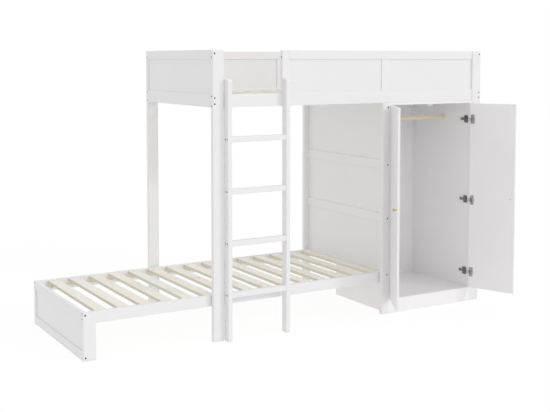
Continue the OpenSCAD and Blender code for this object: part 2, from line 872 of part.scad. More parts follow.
module wardrobe_back() color(paint)
    sheet([[wardrobe_left, back_panel_y, 0], [wardrobe_right, wardrobe_back_y, loft_under]]);

module wardrobe_plinth() color(paint)
    board([inside_left, front_y, 0], [inside_right, front_y + plinth_t, plinth_h], board_r);

// Local +Z along +X at the rod's left end, and the mirror image of it at the right
module at_socket(right) {
    translate([right ? inside_right : inside_left, rod_y, rod_z])
        rotate([0, right ? -90 : 90, 0]) children();
}

module rod_socket() {
    difference() {
        union() {
            cylinder(d = socket_flange_d, h = socket_flange_t, $fn = fine_fn);
            cylinder(d = rod_d + 2 * (rod_fit + socket_wall), h = socket_ring_h, $fn = fine_fn);
        }
        translate([0, 0, socket_flange_t])
            cylinder(d = rod_d + 2 * rod_fit, h = socket_ring_h, $fn = fine_fn);
    }
}

module rod_sockets() color(plastic) for (right = [0, 1]) at_socket(right) rod_socket();

module hanging_rod() color(rod_wood) {
    end_gap = socket_flange_t + rod_fit;
    at_socket(0) translate([0, 0, end_gap])
        cylinder(d = rod_d, h = inside_right - inside_left - 2 * end_gap, $fn = fine_fn);
}

module door_catch() color(plastic) {
    x = (inside_left + inside_right) / 2;
    y = front_y + door_t + strike.y + catch_gap;
    magnet_z = wardrobe_ceiling - catch_h / 2 - magnet.z / 2;
    difference() {
        eased_board([x - catch_w / 2, y, wardrobe_ceiling - catch_h],
                    [x + catch_w / 2, y + catch_d, wardrobe_ceiling], board_r);
        for (side = [-1, 1])
            translate([x + side * catch_w / 4 - magnet.x / 2, y - past, magnet_z])
                cube([magnet.x, past + magnet.y, magnet.z]);
    }
}

// ---- Doors and hinges ----

// Frame of the closed right door's hinge edge, mirrored for the left door
module at_hinge(right) {
    translate([right ? inside_right - door_gap : inside_left + door_gap, front_y, 0])
        mirror([right ? 0 : 1, 0, 0]) children();
}

// Opens a door about its pivot line
module opened(right) {
    translate([pivot.x, pivot.y, 0]) rotate([0, 0, right ? right_open : left_open])
        translate([-pivot.x, -pivot.y, 0]) children();
}

module on_door(right) {
    at_hinge(right) opened(right) children();
}

module door_board() {
    difference() {
        eased_board([-door_w, 0, door_bottom], [0, door_t, door_top]);
        for (z = hinge_z) {
            translate([cup_x, cup_floor, z]) rotate([-90, 0, 0])
                cylinder(d = cup_d, h = door_t, $fn = fine_fn);
            for (side = [-1, 1]) cup_screw(z, side, screw_fit);
        }
        translate([knob_x, -past, knob_z]) rotate([-90, 0, 0])
            cylinder(d = knob_screw_d + 2 * bolt_fit, h = door_t + 2 * past, $fn = round_fn);
    }
}

module left_door() color(paint) on_door(0) door_board();
module right_door() color(paint) on_door(1) door_board();

// Turned knob with a round head on a waisted stem, and its screw through the door
module knob() {
    waist_h = knob_head_h / 2;
    translate([knob_x, 0, knob_z]) rotate([90, 0, 0]) {
        difference() {
            union() {
                cylinder(d = knob_foot_d, h = knob_foot_h, $fn = fine_fn);
                cylinder(d = knob_stem_d, h = knob_reach - waist_h, $fn = fine_fn);
                translate([0, 0, knob_reach - knob_head_h])
                    cylinder(d1 = knob_stem_d, d2 = knob_d, h = knob_head_h - waist_h, $fn = fine_fn);
                translate([0, 0, knob_reach - waist_h])
                    cylinder(d = knob_d, h = waist_h - knob_head_r, $fn = fine_fn);
                translate([0, 0, knob_reach - knob_head_r]) rotate_extrude($fn = fine_fn) {
                    square([knob_d / 2 - knob_head_r, knob_head_r]);
                    intersection() {
                        translate([knob_d / 2 - knob_head_r, 0]) circle(r = knob_head_r, $fn = round_fn);
                        translate([knob_d / 2 - knob_head_r, 0]) square([knob_head_r, knob_head_r]);
                    }
                }
            }
            translate([0, 0, -past])
                cylinder(d = knob_screw_d + 2 * pin_fit, h = knob_screw_in + 2 * past, $fn = round_fn);
        }
        translate([0, 0, -door_t])
            cylinder(d = knob_screw_d, h = door_t + knob_screw_in, $fn = round_fn);
        translate([0, 0, -door_t - knob_screw_head_h])
            cylinder(d = 2 * knob_screw_d, h = knob_screw_head_h, $fn = round_fn);
    }
}

module left_door_knob() color(brass) on_door(0) knob();
module right_door_knob() color(brass) on_door(1) knob();

module door_strike() {
    translate([-door_w + strike_from_edge, door_t, door_top - strike_drop - strike.z]) cube(strike);
}

module left_door_strike() color(plate_steel) on_door(0) door_strike();
module right_door_strike() color(plate_steel) on_door(1) door_strike();

// Screw through a hinge cup's flange into the door
module cup_screw(z, side, grow = 0) {
    translate([cup_x, door_t + cup_flange.y, z + side * cup_screw_z]) rotate([-90, 0, 0])
        screw(cup_screw_length + grow, grow);
}

// Pressed cup with its flange, centred on the bore at the height z
module hinge_cup(z) {
    difference() {
        union() {
            translate([cup_x, cup_floor, z]) rotate([-90, 0, 0])
                cylinder(d = cup_d - 2 * cup_fit, h = door_t - cup_floor, $fn = fine_fn);
            translate([cup_x, door_t, z]) rotate([-90, 0, 0])
                cylinder(d = cup_flange_d, h = cup_flange.y, $fn = fine_fn);
            translate([cup_x - cup_flange.x / 2, door_t, z - cup_flange.z / 2])
                bar_y([cup_flange.x, cup_flange.y, cup_flange.z], cup_flange.x / 4);
        }
        translate([cup_x, cup_floor + cup_bottom_t, z]) rotate([-90, 0, 0])
            cylinder(d = cup_d - 2 * (cup_fit + cup_wall), h = door_t, $fn = fine_fn);
        for (side = [-1, 1]) cup_screw(z, side, screw_fit);
        translate([-cup_edge - cup_d / 4, door_t - cup_notch, z - cup_notch_w / 2])
            cube([cup_edge + cup_d / 4, cup_notch + cup_flange.y + past, cup_notch_w]);
    }
    translate([0, 0, z - seat_w / 2]) linear_extrude(seat_w) polygon(link_seat);
}

module hinge_cups() {
    for (z = hinge_z) {
        hinge_cup(z);
        for (side = [-1, 1]) cup_screw(z, side);
    }
}

module left_hinge_cups() color(plate_steel) on_door(0) hinge_cups();
module right_hinge_cups() color(plate_steel) on_door(1) hinge_cups();

// The straight web of a strap between two points of the hinge's plan, w wide in height
module web(from, to, t, w) {
    d = to - from;
    translate([from.x, from.y, -w / 2]) rotate([0, 0, atan2(d.y, d.x)])
        translate([0, -t / 2, 0]) cube([norm(d), t, w]);
}

// The round end or bend of a strap
module knuckle(p, d, w) {
    translate([p.x, p.y, -w / 2]) cylinder(d = d, h = w, $fn = round_fn);
}

// Screw through the mounting plate into the side panel
module mount_screw(z, side, grow = 0) {
    translate([door_gap - mount_plate.x, mount_plate_y + mount_plate.y / 2, z + side * mount_screw_z])
        rotate([0, -90, 0]) screw(mount_screw_length + grow, grow);
}

// Arm fixed on the side panel: a mounting plate with two wings and a cranked arm into the cup
module hinge_arm(z) {
    difference() {
        union() {
            translate([0, 0, z]) {
                knuckle(arm_pin, arm_t, arm_tip_w);
                web(arm_pin, arm_bend, arm_t, arm_tip_w);
                knuckle(arm_bend, arm_bend_d, arm_w);
                web(arm_bend, arm_root, arm_t, arm_w);
                knuckle(arm_root, arm_bend_d, arm_w);
                web(arm_root, arm_end, arm_t, arm_tail_w);
            }
            translate([door_gap - mount_plate.x, mount_plate_y, z - mount_plate.z / 2])
                bar_x(mount_plate, mount_plate_r);
            translate([arm_root.x, mount_plate_y - saddle_front, z - arm_tail_w / 2])
                cube([arm_stand, saddle_front + mount_plate.y + saddle_back, arm_tail_w]);
        }
        translate([0, 0, z]) knuckle(arm_pin, link_pin_d + 2 * pin_fit, 2 * arm_w);
        for (side = [-1, 1]) mount_screw(z, side, screw_fit);
    }
}

module hinge_arms() {
    for (z = hinge_z) {
        hinge_arm(z);
        for (side = [-1, 1]) mount_screw(z, side);
    }
}

module left_hinge_arms() color(dark_steel) at_hinge(0) hinge_arms();
module right_hinge_arms() color(dark_steel) at_hinge(1) hinge_arms();

// Link of two plates joined by the pin in the arm and by a bar at the cup's end
module hinge_link(right, z) {
    half = arm_tip_w / 2 + link_gap;
    translate([arm_pin.x, arm_pin.y, z])
        rotate([0, 0, link_closed + link_ratio * (right ? right_open : left_open)]) {
            for (side = [-1, 1]) translate([0, 0, side * (half + link_t / 2)]) {
                knuckle([0, 0], 2 * link_r, link_t);
                web([0, 0], [link_length, 0], 2 * link_r, link_t);
            }
            knuckle([0, 0], link_pin_d, 2 * (half + link_t));
            knuckle([link_length, 0], 2 * link_r, 2 * (half + link_t));
        }
}

module left_hinge_links() color(dark_steel) at_hinge(0) for (z = hinge_z) hinge_link(0, z);
module right_hinge_links() color(dark_steel) at_hinge(1) for (z = hinge_z) hinge_link(1, z);

// ---- Ladder ----

module ladder_stile(right) {
    x = right ? ladder_right - stile_w : ladder_left;
    low = [x, ladder_front, 0];
    high = [x + stile_w, ladder_back, stile_top];
    difference() {
        intersection() {
            eased_board(low, high);
            translate(low - [stile_w, 0, stile_d])
                bar_x(high - low + [2 * stile_w, stile_d, stile_d], stile_head_r);
        }
        bolt_bores(rung_bolts(right));
        bolt_bores(ladder_bolts);
    }
}

module ladder_stile_left() color(paint) ladder_stile(0);
module ladder_stile_right() color(paint) ladder_stile(1);

module ladder_rungs() color(paint) {
    for (i = [0:rung_count - 1]) {
        z = rung_first + i * rung_pitch;
        difference() {
            board([ladder_left + stile_w, rung_y, z - rung_h / 2],
                  [ladder_right - stile_w, rung_y + rung_d, z + rung_h / 2], rung_r);
            for (right = [0, 1], side = [0, 1]) bolt_bores([rung_bolts(right)[2 * i + side]]);
        }
    }
}

// ---- Fasteners ----

module connector_bolts() color(dark_steel) {
    for (b = nut_bolts) bolt(b);
    for (b = wood_bolts) bolt(b);
}

module barrel_nuts() color(plate_steel) for (b = nut_bolts) nut(b);

module slat_screws() color(plate_steel) {
    for (p = loft_screws) slat_screw(p);
    for (p = lower_screws) slat_screw(p);
}

loft_post_front_left();
loft_post_front_right();
loft_post_back_left();
loft_post_back_right();
left_end_top_rail();
left_end_bottom_rail();
left_end_panel();
right_end_top_rail();
right_end_bottom_rail();
right_end_panel();
front_side_rail();
back_side_rail();
front_guard_top_rail();
front_guard_stiles();
front_guard_panels();
back_guard_top_rail();
back_guard_stile();
back_guard_panels();
loft_ledgers();
loft_slats();
footboard_leg_front();
footboard_leg_back();
footboard_top_rail();
footboard_bottom_rail();
footboard_panel();
lower_side_rail_front();
lower_side_rail_back();
lower_ledgers();
lower_slats();
frame_post_front();
frame_post_back();
frame_rails();
frame_panels();
wardrobe_side_left();
wardrobe_side_right();
wardrobe_top();
wardrobe_floor();
wardrobe_back();
wardrobe_plinth();
hanging_rod();
rod_sockets();
door_catch();
left_door();
right_door();
left_door_knob();
right_door_knob();
left_door_strike();
right_door_strike();
left_hinge_cups();
right_hinge_cups();
left_hinge_arms();
right_hinge_arms();
left_hinge_links();
right_hinge_links();
ladder_stile_left();
ladder_stile_right();
ladder_rungs();
connector_bolts();
barrel_nuts();
slat_screws();
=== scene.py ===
"""Looks of a bunk bed: a loft bed with a ladder, a lower bed, a panelled frame and a wardrobe.

Every piece keeps the shape it has in the frame. The script gives each one its material, and adds
the floor, the light and the camera.
"""

import math

import bpy
from mathutils import Euler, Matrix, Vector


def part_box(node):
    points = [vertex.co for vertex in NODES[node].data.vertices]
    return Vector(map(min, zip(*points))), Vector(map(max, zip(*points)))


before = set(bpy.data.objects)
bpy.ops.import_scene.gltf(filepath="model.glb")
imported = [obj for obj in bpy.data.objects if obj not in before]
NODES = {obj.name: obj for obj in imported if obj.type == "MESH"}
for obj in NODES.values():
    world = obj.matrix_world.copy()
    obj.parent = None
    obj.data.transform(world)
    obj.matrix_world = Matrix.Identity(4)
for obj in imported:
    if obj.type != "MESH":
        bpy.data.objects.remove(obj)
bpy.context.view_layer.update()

# ---- Sizes and angles that the materials follow, in metres and radians ----

MM = 0.001
SLAT_W = 70 * MM
SLAT_COUNT = 15
RIGHT_OPEN = math.radians(112)
LEFT_OPEN = math.radians(120)

# Length over which the pieces' noise is spread out, so that no two pieces look alike
PIECE_SPREAD = 17.0

# ---- Colours, as linear values ----


def srgb(r, g, b):
    """A colour given as 0 to 255 screen values."""
    out = []
    for c in (r, g, b):
        c /= 255
        out.append(c / 12.92 if c <= 0.04045 else ((c + 0.055) / 1.055) ** 2.4)
    return (*out, 1.0)


PAINT = srgb(243, 242, 243)
PAINT_WARM = srgb(241, 240, 240)
PAINT_RUBBED = srgb(226, 221, 210)
PANEL = srgb(242, 241, 242)
PANEL_WARM = srgb(239, 238, 238)
BOARD = srgb(249, 247, 248)
BOARD_SMUDGE = srgb(244, 242, 243)
FOIL = srgb(243, 243, 242)
PINE_EARLY = srgb(253, 252, 248)
PINE_LATE = srgb(246, 239, 222)
PINE_ROSY = srgb(250, 243, 233)
PINE_CREAM = srgb(250, 246, 233)
# Painted shade for the sides of the pine pieces, which face neither up nor down
PINE_SIDE_SHADE = srgb(221, 217, 201)
PINE_KNOT = srgb(168, 124, 82)
ROD_EARLY = srgb(238, 228, 203)
ROD_LATE = srgb(220, 204, 166)
PLASTIC = srgb(238, 238, 236)
PLASTIC_CLOUD = srgb(232, 232, 228)
BRASS = srgb(216, 190, 112)
BRASS_WORN = srgb(198, 168, 92)
ZINC = srgb(200, 200, 200)
ZINC_WORN = srgb(170, 171, 170)
STRIKE_WHITE = srgb(240, 240, 239)
STRIKE_WORN = srgb(228, 227, 224)
CUP_STEEL = srgb(204, 204, 205)
CUP_WORN = srgb(160, 160, 161)
ARM_STEEL = srgb(150, 150, 152)
ARM_WORN = srgb(104, 104, 106)
BLACK_OXIDE = srgb(34, 34, 36)
BLACK_WORN = srgb(52, 51, 50)

# ---- Node helpers ----


class Net:
    """Short ways to add and join the nodes of one tree."""

    def __init__(self, tree):
        self.tree = tree
        tree.nodes.clear()

    def add(self, kind, inputs=None, **settings):
        node = self.tree.nodes.new(kind)
        for key, value in settings.items():
            setattr(node, key, value)
        for key, value in (inputs or {}).items():
            self.put(node.inputs[key], value)
        return node

    def put(self, socket, value):
        if isinstance(value, bpy.types.NodeSocket):
            self.tree.links.new(value, socket)
        else:
            socket.default_value = value

    def math(self, operation, *values):
        return self.add("ShaderNodeMath", dict(enumerate(values)), operation=operation).outputs[0]

    def times(self, value, factor):
        return self.math("MULTIPLY", value, factor)

    def plus(self, start, value, weight):
        """The start with the value added by its weight."""
        return self.math("MULTIPLY_ADD", value, weight, start)

    def vector(self, operation, *values):
        node = self.add("ShaderNodeVectorMath", dict(enumerate(values)), operation=operation)
        return node.outputs[0]

    def split(self, vector):
        node = self.add("ShaderNodeSeparateXYZ", {"Vector": vector})
        return node.outputs[0], node.outputs[1], node.outputs[2]

    def join(self, x, y, z):
        return self.add("ShaderNodeCombineXYZ", {"X": x, "Y": y, "Z": z}).outputs[0]

    def noise(self, vector, scale=1.0, detail=2.0, roughness=0.5, distortion=0.0):
        return self.add(
            "ShaderNodeTexNoise",
            {
                "Vector": vector,
                "Scale": scale,
                "Detail": detail,
                "Roughness": roughness,
                "Distortion": distortion,
            },
        ).outputs[0]

    def ramp(self, value, low, high, out_low=0.0, out_high=1.0):
        """Maps low..high to out_low..out_high with soft ends."""
        levels = dict(enumerate((value, low, high, out_low, out_high)))
        return self.add("ShaderNodeMapRange", levels, interpolation_type="SMOOTHSTEP").outputs[0]

    def fade(self, value, full, none):
        """1 up to the first level, falling to 0 at the second."""
        return self.ramp(value, full, none, 1.0, 0.0)

    def mix(self, factor, a, b):
        return self.add("ShaderNodeMix", {0: factor, 6: a, 7: b}, data_type="RGBA").outputs[2]

    def tint(self, colour, mask, amount, to):
        """The colour moved towards another where the mask is 1, by the amount at most."""
        return self.mix(self.times(mask, amount), colour, to)

    def bump(self, height, distance, strength=1.0, normal=None):
        values = {"Height": height, "Distance": distance, "Strength": strength}
        if normal is not None:
            values["Normal"] = normal
        return self.add("ShaderNodeBump", values).outputs[0]


class Surface(Net):
    """A material with one Principled shader at its end."""

    def __init__(self, name):
        self.mat = bpy.data.materials.new(name)
        self.mat.use_nodes = True
        super().__init__(self.mat.node_tree)
        self.shader = self.add("ShaderNodeBsdfPrincipled")
        self.add("ShaderNodeOutputMaterial", {"Surface": self.shader.outputs[0]})
        coord = self.add("ShaderNodeTexCoord")
        self.place = coord.outputs["Object"]
        self.normal = coord.outputs["Normal"]

    def set(self, **values):
        for key, value in values.items():
            self.put(self.shader.inputs[key.replace("_", " ")], value)


def along(net, vector, axis):
    """The vector with the grain's axis turned to X."""
    x, y, z = net.split(vector)
    order = {"x": (x, y, z), "y": (y, z, x), "z": (z, x, y)}[axis]
    return net.join(*order)


def turned(net, vector, angle):
    """The vector turned back by a door's angle about Z."""
    if not angle:
        return vector
    return net.add(
        "ShaderNodeVectorRotate", {"Vector": vector, "Angle": angle}, rotation_type="Z_AXIS"
    ).outputs[0]


def edge_mask(net, normal):
    """1 on the rounded edges of a board, 0 on its flat faces."""
    x, y, z = (net.math("ABSOLUTE", part) for part in net.split(normal))
    largest = net.math("MAXIMUM", net.math("MAXIMUM", x, y), z)
    return net.fade(largest, full=0.93, none=0.995)


def piece_shift(net, vector):
    """The vector moved by an amount of each piece's own."""
    info = net.add("ShaderNodeObjectInfo")
    shift = net.times(info.outputs["Random"], PIECE_SPREAD)
    return net.vector("ADD", vector, net.join(shift, shift, shift))


def fibres(net, length, across, depth, waves_along, waves_across):
    """Fine wood fibres, drawn out along the grain."""
    place = net.join(
        net.times(length, waves_along),
        net.times(across, waves_across),
        net.times(depth, waves_across),
    )
    return net.noise(place, detail=3.0, roughness=0.6)


# ---- Paint over wood, panel and board ----

# Noise waves in a metre, along and twice across the grain
STREAK_WAVES = (3.0, 95.0, 95.0)
RING_WAVES = (1.1, 26.0, 26.0)
PORE_WAVES = (40.0, 900.0, 900.0)

# Waves of the handling marks on a board, twice across it and up it
MARK_WAVES = (9.0, 9.0, 2.2)

# Height above the floor up to which feet are scuffed
SCUFF_HEIGHT = 22 * MM

STREAK_RELIEF = 0.35 * MM
PAINT_PEEL_RELIEF = 0.06 * MM
BOARD_PEEL_RELIEF = 0.07 * MM
RIPPLE_RELIEF = 0.12 * MM


def painted_wood(name, axis, scuffed=False):
    """White satin paint over planed pine: faint grain, orange peel and rubbed edges."""
    net = Surface(name)
    grain_place = along(net, piece_shift(net, net.place), axis)
    streak_place, ring_place, pore_place = (
        net.vector("MULTIPLY", grain_place, waves)
        for waves in (STREAK_WAVES, RING_WAVES, PORE_WAVES)
    )
    streaks = net.noise(streak_place, detail=5.0, roughness=0.6)
    rings = net.noise(ring_place, distortion=0.6)
    pores = net.noise(pore_place)
    peel = net.noise(net.place, scale=700.0)
    cloud = net.noise(net.place, scale=5.0, detail=3.0)
    edge = edge_mask(net, net.normal)
    rub_spots = net.noise(net.place, scale=60.0, detail=4.0, roughness=0.65)
    rub = net.times(edge, net.ramp(rub_spots, low=0.5, high=0.72))
    foot = net.fade(net.split(net.place)[2], full=0.0, none=SCUFF_HEIGHT)

    tone = net.plus(net.times(streaks, 0.3), cloud, weight=0.34)
    colour = net.mix(net.ramp(tone, low=0.2, high=0.5), PAINT, PAINT_WARM)
    colour = net.tint(colour, rub, amount=0.35, to=PAINT_RUBBED)
    colour = net.tint(colour, foot, amount=0.35, to=PAINT_RUBBED)
    rough = net.plus(0.36, cloud, weight=0.1)
    rough = net.plus(rough, edge, weight=-0.08)
    if scuffed:
        upward = net.ramp(net.split(net.normal)[2], low=0.6, high=0.95)
        tread = net.times(upward, net.ramp(streaks, low=0.5, high=0.7))
        rough = net.plus(rough, tread, weight=0.16)
        colour = net.tint(colour, tread, amount=0.3, to=PAINT_RUBBED)

    height = net.plus(net.times(rings, 0.7), streaks, weight=0.5)
    height = net.plus(height, pores, weight=0.12)
    normal = net.bump(height, STREAK_RELIEF, strength=0.5)
    normal = net.bump(peel, PAINT_PEEL_RELIEF, strength=0.5, normal=normal)
    net.set(Base_Color=colour, Roughness=rough, Normal=normal)
    net.set(Coat_Weight=0.12, Coat_Roughness=0.3, IOR=1.48)
    return net.mat


def painted_board(name, base, smudge, angle=0.0, peel_waves=450.0):
    """Lacquered board: orange peel, faint handling marks and softened edges, with no grain."""
    net = Surface(name)
    place = turned(net, net.place, angle)
    own = piece_shift(net, place)
    peel = net.noise(own, scale=peel_waves, detail=3.0, roughness=0.55)
    ripple = net.noise(own, scale=38.0)
    cloud = net.noise(own, scale=3.2, detail=4.0, roughness=0.55)
    mark_place = net.vector("MULTIPLY", own, MARK_WAVES)
    marks = net.noise(mark_place, detail=5.0, roughness=0.7, distortion=0.8)
    handled = net.ramp(marks, low=0.56, high=0.74)
    edge = edge_mask(net, turned(net, net.normal, angle))
    rub_spots = net.noise(place, scale=75.0, detail=4.0, roughness=0.6)
    rub = net.times(edge, net.ramp(rub_spots, low=0.52, high=0.72))

    colour = net.mix(net.ramp(cloud, low=0.3, high=0.7, out_high=0.45), base, smudge)
    colour = net.tint(colour, handled, amount=0.16, to=smudge)
    colour = net.tint(colour, rub, amount=0.3, to=PAINT_RUBBED)
    rough = net.plus(0.3, cloud, weight=0.08)
    rough = net.plus(rough, handled, weight=0.09)

    normal = net.bump(ripple, RIPPLE_RELIEF, strength=0.35)
    normal = net.bump(peel, BOARD_PEEL_RELIEF, strength=0.5, normal=normal)
    net.set(Base_Color=colour, Roughness=rough, Normal=normal)
    net.set(Coat_Weight=0.18, Coat_Roughness=0.22, IOR=1.5)
    return net.mat


# ---- Bare wood ----

PINE_RING_SPACING = 4.2 * MM
PINE_RING_WOBBLE = 20 * MM
PINE_RELIEF = 0.25 * MM

# The pith lies below a slat by the first value and up to the second more, and to the side by up
# to half of the third
PITH_BELOW = 22 * MM
PITH_BELOW_SPREAD = 50 * MM
PITH_SIDE_SPREAD = 70 * MM

# Length of bare wood out of which each piece takes its own stretch
PIECE_STRETCH = 23.0

# Cells that may hold one knot each, in a metre across and along a piece, and the number of cells
# by which one piece is set off from the next
KNOT_CELLS_ACROSS = 16.0
KNOT_CELLS_ALONG = 5.0
KNOT_CELL_OFFSET = 3.7

ROD_RING_SPACING = 3.2 * MM
ROD_RING_WOBBLE = 12 * MM
ROD_PITH_BELOW = 20 * MM
ROD_PITH_SIDE = 9 * MM
ROD_RELIEF = 0.08 * MM

# The rings bend slowly along the grain and, by a share of that, finely. The power keeps the dark
# late wood to the end of each ring.
RING_BEND_ALONG = 1.3
RING_FINE_ALONG = 7.0
RING_FINE_SHARE = 0.12
LATE_WOOD_POWER = 1.8


def wood_rings(net, across, rise, length, spacing, wobble):
    """Growth rings about a pith line: 0 in the early wood, 1 in the late wood."""
    bend_place = net.join(net.times(length, RING_BEND_ALONG), across, rise)
    fine_place = net.join(net.times(length, RING_FINE_ALONG), across, rise)
    bend = net.noise(bend_place, scale=2.3, detail=3.0)
    fine = net.noise(fine_place, scale=9.0)
    squares = net.math("ADD", net.math("POWER", across, 2.0), net.math("POWER", rise, 2.0))
    radius = net.math("SQRT", squares)
    radius = net.plus(radius, bend, weight=wobble)
    radius = net.plus(radius, fine, weight=wobble * RING_FINE_SHARE)
    turn = net.math("FRACT", net.math("DIVIDE", radius, spacing))
    darkening = net.math("POWER", net.ramp(turn, low=0.1, high=0.86), LATE_WOOD_POWER)
    return net.times(darkening, net.fade(turn, full=0.9, none=1.0))


def pine(name, axis, first, pitch, depth):
    """Planed pine slats or ledgers, each with rings and a tone of its own.

    The grain runs along the axis. The pieces are counted across it, from the first by the pitch,
    and the depth is the height of their undersides.
    """
    net = Surface(name)
    x, y, z = net.split(net.place)
    count_on, length = {"y": (x, y), "x": (y, x)}[axis]
    steps = net.math("DIVIDE", net.math("SUBTRACT", count_on, first), pitch)
    index = net.math("FLOOR", steps)
    own = net.add("ShaderNodeTexWhiteNoise", {"W": index}, noise_dimensions="1D")
    own_side, own_depth, own_stretch = net.split(own.outputs["Color"])

    middle = net.plus(first + SLAT_W / 2, index, weight=pitch)
    pith_side = net.plus(-PITH_SIDE_SPREAD / 2, own_side, weight=PITH_SIDE_SPREAD)
    pith_below = net.plus(PITH_BELOW, own_depth, weight=PITH_BELOW_SPREAD)
    across = net.math("ADD", net.math("SUBTRACT", count_on, middle), pith_side)
    rise = net.math("ADD", net.math("SUBTRACT", z, depth), pith_below)
    shifted = net.plus(length, own_stretch, weight=PIECE_STRETCH)
    rings = wood_rings(net, across, rise, shifted, PINE_RING_SPACING, PINE_RING_WOBBLE)

    cell = net.join(
        net.plus(net.times(across, KNOT_CELLS_ACROSS), index, weight=KNOT_CELL_OFFSET),
        net.times(shifted, KNOT_CELLS_ALONG),
        0.0,
    )
    spots = net.add("ShaderNodeTexVoronoi", {"Vector": cell, "Scale": 1.0}, feature="F1")
    distance = spots.outputs["Distance"]
    has_knot = net.ramp(net.split(spots.outputs["Color"])[0], low=0.72, high=0.76)
    knot = net.times(net.fade(distance, full=0.03, none=0.085), has_knot)
    halo = net.times(net.fade(distance, full=0.05, none=0.3), has_knot)
    fibre = fibres(net, length, count_on, z, waves_along=14.0, waves_across=700.0)
    patch = net.noise(net.join(shifted, count_on, z), scale=4.0, detail=3.0)
    up_or_down = net.math("ABSOLUTE", net.split(net.normal)[2])
    # Painted shade: the sides of each piece, which face neither up nor down, are darkened almost
    # fully to the side shade colour
    side_shade = net.fade(up_or_down, full=0.5, none=0.9)

    early = net.tint(PINE_EARLY, own_side, amount=0.55, to=PINE_ROSY)
    early = net.mix(net.ramp(patch, low=0.35, high=0.7, out_high=0.35), early, PINE_CREAM)
    colour = net.tint(early, rings, amount=0.55, to=PINE_LATE)
    colour = net.tint(colour, fibre, amount=0.16, to=PINE_LATE)
    colour = net.tint(colour, halo, amount=0.3, to=PINE_LATE)
    colour = net.tint(colour, side_shade, amount=0.9, to=PINE_SIDE_SHADE)
    colour = net.tint(colour, knot, amount=0.85, to=PINE_KNOT)

    height = net.plus(net.times(fibre, 0.5), rings, weight=0.6)
    height = net.plus(height, knot, weight=0.6)
    net.set(Base_Color=colour, Normal=net.bump(height, PINE_RELIEF, strength=0.6))
    net.set(Roughness=net.plus(0.62, rings, weight=-0.1), IOR=1.5)
    return net.mat


def rod_wood(name, axis_y, axis_z):
    """Clear lacquered round rod with its grain along X."""
    net = Surface(name)
    x, y, z = net.split(net.place)
    across = net.math("SUBTRACT", y, axis_y - ROD_PITH_SIDE)
    rise = net.math("SUBTRACT", z, axis_z - ROD_PITH_BELOW)
    rings = wood_rings(net, across, rise, x, ROD_RING_SPACING, ROD_RING_WOBBLE)
    fibre = fibres(net, x, y, z, waves_along=22.0, waves_across=900.0)
    colour = net.tint(ROD_EARLY, rings, amount=0.7, to=ROD_LATE)
    colour = net.tint(colour, fibre, amount=0.3, to=ROD_LATE)
    net.set(Base_Color=colour, Roughness=net.plus(0.34, fibre, weight=0.12))
    net.set(Normal=net.bump(fibre, ROD_RELIEF, strength=0.5))
    net.set(Coat_Weight=0.45, Coat_Roughness=0.16, IOR=1.5)
    return net.mat


# ---- Metal and plastic ----

METAL_RELIEF = 0.03 * MM
PLASTIC_RELIEF = 0.04 * MM

# How much closer the working marks lie along X, Y and Z than on an even surface
EVEN = (1.0, 1.0, 1.0)
CUP_MARKS = (1.0, 1.0, 4.0)
ARM_MARKS = (1.0, 1.0, 5.0)

# How far the working marks take the roughness from its lowest to its highest
MARK_ROUGHNESS = 0.22


def metal(name, base, worn, rough, marks=EVEN, coat=0.0, metallic=1.0, zinc_behind=None):
    """Plated, lacquered or blackened steel with fine working marks and handling wear.

    zinc_behind is the angle of a door whose inner side has a zinc screw head in the same node.
    """
    net = Surface(name)
    own = piece_shift(net, net.place)
    line_place = net.vector("MULTIPLY", own, marks)
    lines = net.noise(line_place, scale=320.0, detail=3.0, roughness=0.6)
    cloud = net.noise(own, scale=55.0, detail=3.0, roughness=0.6)
    speck_noise = net.noise(own, scale=240.0, detail=4.0, roughness=0.7)
    specks = net.ramp(speck_noise, low=0.6, high=0.75)
    colour = net.mix(net.ramp(cloud, low=0.35, high=0.7), base, worn)
    colour = net.tint(colour, specks, amount=0.3, to=worn)
    if zinc_behind is not None:
        inward = net.split(turned(net, net.normal, zinc_behind))[1]
        colour = net.mix(net.ramp(inward, low=0.7, high=0.95), colour, ZINC)
    roughness = net.plus(rough - MARK_ROUGHNESS / 2, lines, weight=MARK_ROUGHNESS)
    roughness = net.plus(roughness, specks, weight=0.1)
    net.set(Base_Color=colour, Metallic=metallic, Roughness=roughness)
    net.set(Normal=net.bump(lines, METAL_RELIEF, strength=0.4))
    net.set(Coat_Weight=coat, Coat_Roughness=0.2)
    return net.mat


def plastic(name, base, cloud_colour):
    """Moulded plastic with a fine spark-eroded grain."""
    net = Surface(name)
    own = piece_shift(net, net.place)
    grain = net.noise(own, scale=1400.0, detail=3.0, roughness=0.6)
    cloud = net.noise(own, scale=40.0)
    colour = net.mix(net.ramp(cloud, low=0.3, high=0.7), base, cloud_colour)
    net.set(Base_Color=colour, Roughness=net.plus(0.36, grain, weight=0.16))
    net.set(Normal=net.bump(grain, PLASTIC_RELIEF, strength=0.5), IOR=1.49)
    return net.mat


# ---- Materials for each CAD node ----


def finish_node(material, *names):
    """Gives the named nodes the material all over."""
    for name in names:
        for slot in NODES[name].material_slots:
            slot.link = "OBJECT"
            slot.material = material


